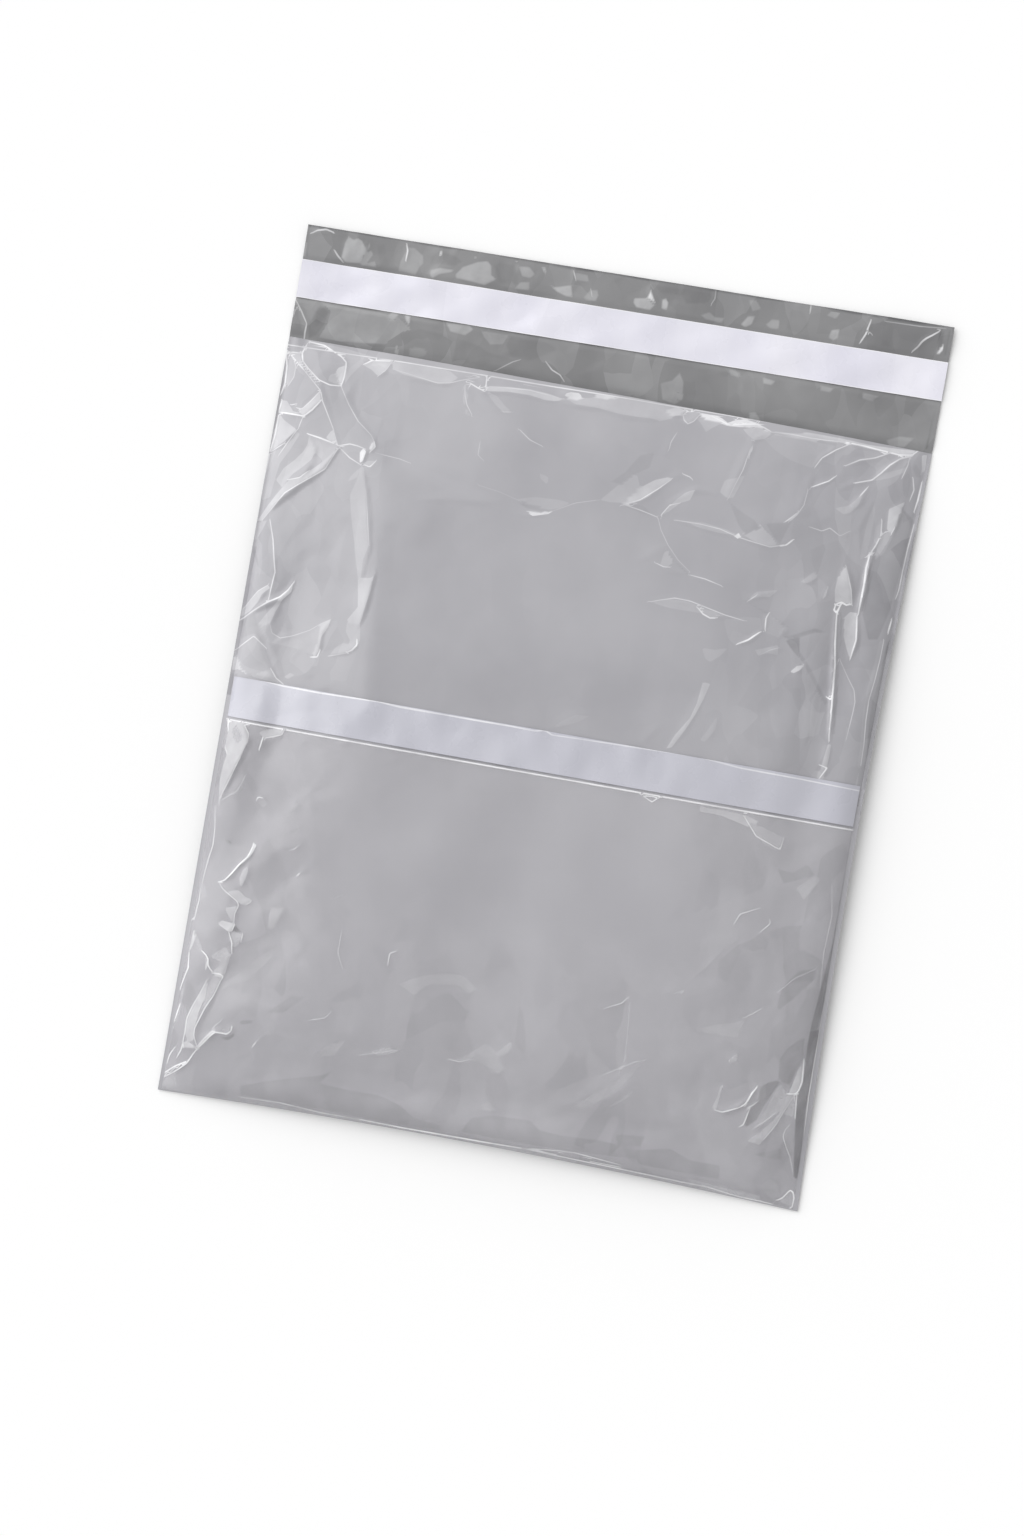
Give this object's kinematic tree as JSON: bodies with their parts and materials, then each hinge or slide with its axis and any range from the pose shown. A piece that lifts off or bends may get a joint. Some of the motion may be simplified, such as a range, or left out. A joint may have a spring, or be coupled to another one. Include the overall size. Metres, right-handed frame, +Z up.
{
  "type": "poly mailer bag",
  "caption": "Flat plastic film mailing bag with a clear slip pocket on the front, an open flap and peel-off adhesive closures, lying on its back.",
  "frame": {"origin": "centre of the bag's outline, on the surface that its back lies on", "axes": "+X across the bag to the right seen from the front, +Y from the bottom fold to the flap's free edge, +Z up out of the front panel"},
  "size_m": [0.3556, 0.4826, 0.0246],
  "materials": {
    "grey_film": "glossy co-extruded film, silver grey outside and dark grey inside",
    "clear_film": "clear glossy film",
    "hot_melt_adhesive": "tacky, slightly yellow",
    "release_liner": "smooth coated liner with a faint lilac tint"
  },
  "bodies": {
    "root": {"bag_film": "grey_film", "pocket_film": "clear_film", "flap_adhesive": "hot_melt_adhesive", "flap_liner": "release_liner", "pocket_adhesive": "hot_melt_adhesive", "pocket_liner": "release_liner"}
  },
  "joints": []
}
